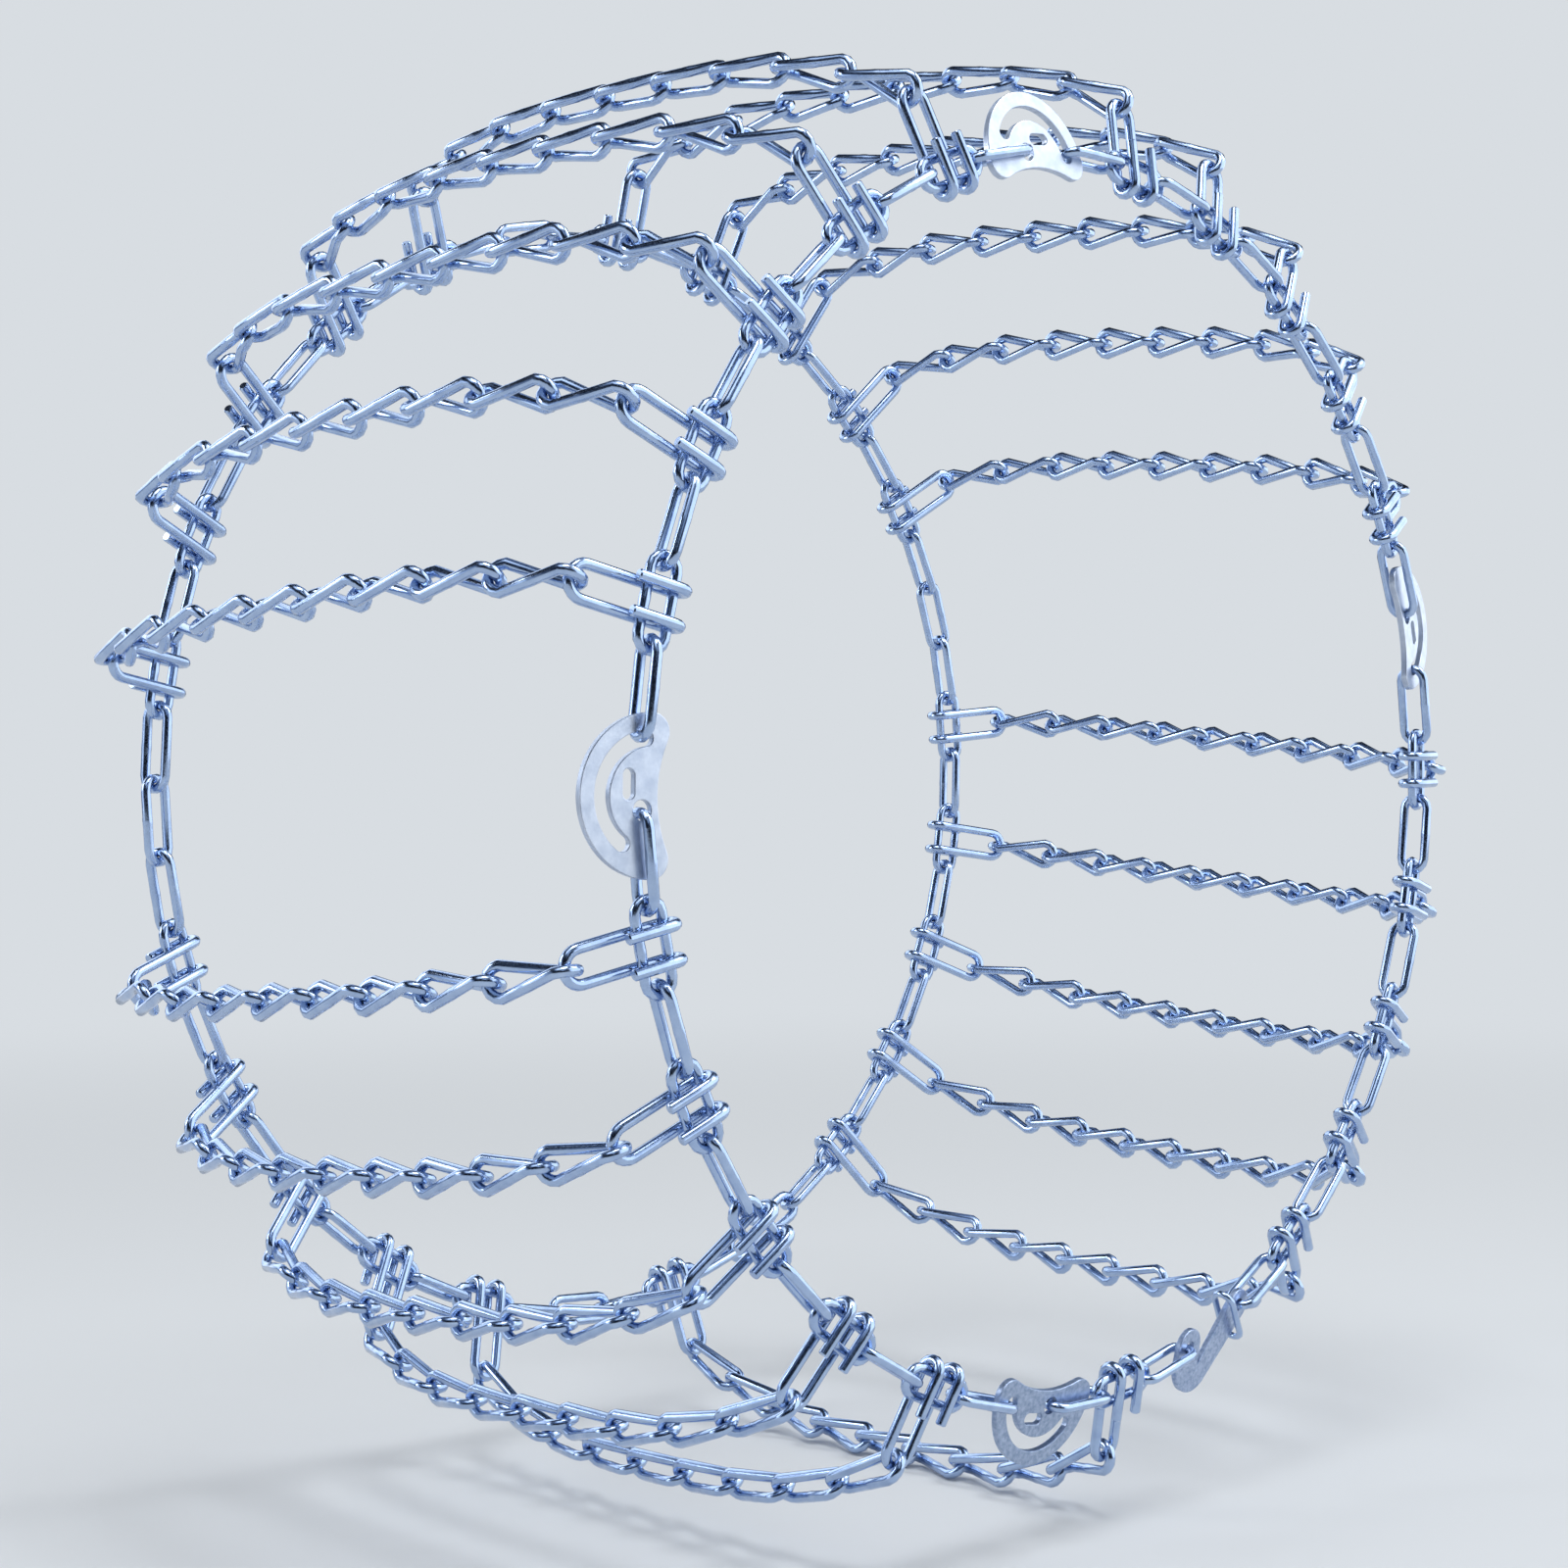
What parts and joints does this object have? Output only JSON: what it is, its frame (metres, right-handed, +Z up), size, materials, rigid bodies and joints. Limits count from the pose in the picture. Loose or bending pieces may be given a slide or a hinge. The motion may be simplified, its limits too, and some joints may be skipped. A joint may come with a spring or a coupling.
{
  "type": "tire snow chains",
  "caption": "Ladder snow chain net for a truck tire: twisted-link cross chains hooked between two side chains, with cam tighteners and a lever hook fastener.",
  "frame": {"origin": "centre of the wheel that the net is fitted to, on the axle line, midway between the two side chains", "axes": "+Y along the axle towards the inner side of the wheel, so -Y faces the viewer and carries the cams; +Z up; +X to the right as seen from the outer side"},
  "size_m": [0.8489, 0.417, 0.8537],
  "materials": {
    "zinc_wire": "bright zinc plating with a blue tint",
    "cam_plate": "stamped plate, bright zinc plating",
    "lever_plate": "stamped plate, mottled zinc"
  },
  "bodies": {
    "side_chains": {"outer_side_chain_1": "zinc_wire", "outer_side_chain_2": "zinc_wire", "outer_side_chain_3": "zinc_wire", "outer_side_chain_4": "zinc_wire", "outer_side_chain_5": "zinc_wire", "inner_side_chain_1": "zinc_wire", "inner_side_chain_2": "zinc_wire", "inner_side_chain_3": "zinc_wire", "inner_side_chain_4": "zinc_wire", "inner_side_chain_5": "zinc_wire", "inner_hook": "zinc_wire"},
    "cross_01": {"cross_chain_01": "zinc_wire", "cross_hooks_01": "zinc_wire"},
    "cross_02": {"cross_chain_02": "zinc_wire", "cross_hooks_02": "zinc_wire"},
    "cross_03": {"cross_chain_03": "zinc_wire", "cross_hooks_03": "zinc_wire"},
    "cross_04": {"cross_chain_04": "zinc_wire", "cross_hooks_04": "zinc_wire"},
    "cross_05": {"cross_chain_05": "zinc_wire", "cross_hooks_05": "zinc_wire"},
    "cross_06": {"cross_chain_06": "zinc_wire", "cross_hooks_06": "zinc_wire"},
    "cross_07": {"cross_chain_07": "zinc_wire", "cross_hooks_07": "zinc_wire"},
    "cross_08": {"cross_chain_08": "zinc_wire", "cross_hooks_08": "zinc_wire"},
    "cross_09": {"cross_chain_09": "zinc_wire", "cross_hooks_09": "zinc_wire"},
    "cross_10": {"cross_chain_10": "zinc_wire", "cross_hooks_10": "zinc_wire"},
    "cross_11": {"cross_chain_11": "zinc_wire", "cross_hooks_11": "zinc_wire"},
    "cross_12": {"cross_chain_12": "zinc_wire", "cross_hooks_12": "zinc_wire"},
    "cross_13": {"cross_chain_13": "zinc_wire", "cross_hooks_13": "zinc_wire"},
    "cross_14": {"cross_chain_14": "zinc_wire", "cross_hooks_14": "zinc_wire"},
    "cross_15": {"cross_chain_15": "zinc_wire", "cross_hooks_15": "zinc_wire"},
    "cross_16": {"cross_chain_16": "zinc_wire", "cross_hooks_16": "zinc_wire"},
    "cross_17": {"cross_chain_17": "zinc_wire", "cross_hooks_17": "zinc_wire"},
    "cross_18": {"cross_chain_18": "zinc_wire", "cross_hooks_18": "zinc_wire"},
    "cross_19": {"cross_chain_19": "zinc_wire", "cross_hooks_19": "zinc_wire"},
    "cross_20": {"cross_chain_20": "zinc_wire", "cross_hooks_20": "zinc_wire"},
    "cross_21": {"cross_chain_21": "zinc_wire", "cross_hooks_21": "zinc_wire"},
    "cam_top": {"cam_top": "cam_plate"},
    "cam_left": {"cam_left": "cam_plate"},
    "cam_bottom": {"cam_bottom": "cam_plate"},
    "cam_right": {"cam_right": "cam_plate"},
    "lever": {"lever_hook": "lever_plate"},
    "keeper": {"keeper_ring": "zinc_wire"}
  },
  "joints": [
    {"name": "cross_slide_01", "type": "slide", "parent": "side_chains", "child": "cross_01", "axis": [0.9222, 0, 0.3868], "range_m": [-0.002, 0.002]},
    {"name": "cross_slide_02", "type": "slide", "parent": "side_chains", "child": "cross_02", "axis": [0.804, 0, 0.5946], "range_m": [-0.002, 0.002]},
    {"name": "cross_slide_03", "type": "slide", "parent": "side_chains", "child": "cross_03", "axis": [0.6399, 0, 0.7684], "range_m": [-0.002, 0.002]},
    {"name": "cross_slide_04", "type": "slide", "parent": "side_chains", "child": "cross_04", "axis": [0.4393, 0, 0.8984], "range_m": [-0.002, 0.002]},
    {"name": "cross_slide_05", "type": "slide", "parent": "side_chains", "child": "cross_05", "axis": [0.2135, 0, 0.9769], "range_m": [-0.002, 0.002]},
    {"name": "cross_slide_06", "type": "slide", "parent": "side_chains", "child": "cross_06", "axis": [-0.261, 0, 0.9653], "range_m": [-0.002, 0.002]},
    {"name": "cross_slide_07", "type": "slide", "parent": "side_chains", "child": "cross_07", "axis": [-0.4826, 0, 0.8758], "range_m": [-0.002, 0.002]},
    {"name": "cross_slide_08", "type": "slide", "parent": "side_chains", "child": "cross_08", "axis": [-0.6767, 0, 0.7363], "range_m": [-0.002, 0.002]},
    {"name": "cross_slide_09", "type": "slide", "parent": "side_chains", "child": "cross_09", "axis": [-0.8321, 0, 0.5546], "range_m": [-0.002, 0.002]},
    {"name": "cross_slide_10", "type": "slide", "parent": "side_chains", "child": "cross_10", "axis": [-0.9399, 0, 0.3413], "range_m": [-0.002, 0.002]},
    {"name": "cross_slide_11", "type": "slide", "parent": "side_chains", "child": "cross_11", "axis": [-0.9914, 0, -0.1305], "range_m": [-0.002, 0.002]},
    {"name": "cross_slide_12", "type": "slide", "parent": "side_chains", "child": "cross_12", "axis": [-0.7879, 0, -0.6159], "range_m": [-0.002, 0.002]},
    {"name": "cross_slide_13", "type": "slide", "parent": "side_chains", "child": "cross_13", "axis": [-0.6192, 0, -0.7852], "range_m": [-0.002, 0.002]},
    {"name": "cross_slide_14", "type": "slide", "parent": "side_chains", "child": "cross_14", "axis": [-0.4152, 0, -0.9098], "range_m": [-0.002, 0.002]},
    {"name": "cross_slide_15", "type": "slide", "parent": "side_chains", "child": "cross_15", "axis": [-0.1874, 0, -0.9823], "range_m": [-0.002, 0.002]},
    {"name": "cross_slide_16", "type": "slide", "parent": "side_chains", "child": "cross_16", "axis": [0.0511, 0, -0.9987], "range_m": [-0.002, 0.002]},
    {"name": "cross_slide_17", "type": "slide", "parent": "side_chains", "child": "cross_17", "axis": [0.5058, 0, -0.8626], "range_m": [-0.002, 0.002]},
    {"name": "cross_slide_18", "type": "slide", "parent": "side_chains", "child": "cross_18", "axis": [0.6961, 0, -0.718], "range_m": [-0.002, 0.002]},
    {"name": "cross_slide_19", "type": "slide", "parent": "side_chains", "child": "cross_19", "axis": [0.8466, 0, -0.5322], "range_m": [-0.002, 0.002]},
    {"name": "cross_slide_20", "type": "slide", "parent": "side_chains", "child": "cross_20", "axis": [0.9487, 0, -0.3161], "range_m": [-0.002, 0.002]},
    {"name": "cross_slide_21", "type": "slide", "parent": "side_chains", "child": "cross_21", "axis": [0.9966, 0, -0.0819], "range_m": [-0.002, 0.002]},
    {"name": "cam_top_turn", "type": "hinge", "parent": "side_chains", "child": "cam_top", "pos_m": [-0.04939, -0.19903, 0.33814], "axis": [-0.024, -0.9781, 0.2065], "range_deg": [-6, 3]},
    {"name": "cam_left_turn", "type": "hinge", "parent": "side_chains", "child": "cam_left", "pos_m": [-0.3417, -0.19903, -0.00407], "axis": [-0.2079, -0.9781, 0.0036], "range_deg": [-6, 3]},
    {"name": "cam_bottom_turn", "type": "hinge", "parent": "side_chains", "child": "cam_bottom", "pos_m": [-0.04133, -0.19903, -0.33922], "axis": [-0.0312, -0.9781, -0.2056], "range_deg": [-6, 3]},
    {"name": "cam_right_turn", "type": "hinge", "parent": "side_chains", "child": "cam_right", "pos_m": [0.32859, -0.19903, 0.09384], "axis": [0.2015, -0.9781, 0.0512], "range_deg": [-6, 3]},
    {"name": "lever_tilt", "type": "hinge", "parent": "side_chains", "child": "lever", "pos_m": [0.12046, -0.19788, -0.32465], "axis": [-0.9375, 0, -0.3479], "range_deg": [-8, 8]},
    {"name": "keeper_slide", "type": "slide", "parent": "lever", "child": "keeper", "axis": [-0.8372, 0.0467, -0.5449], "range_m": [-0.001, 0.002]}
  ]
}
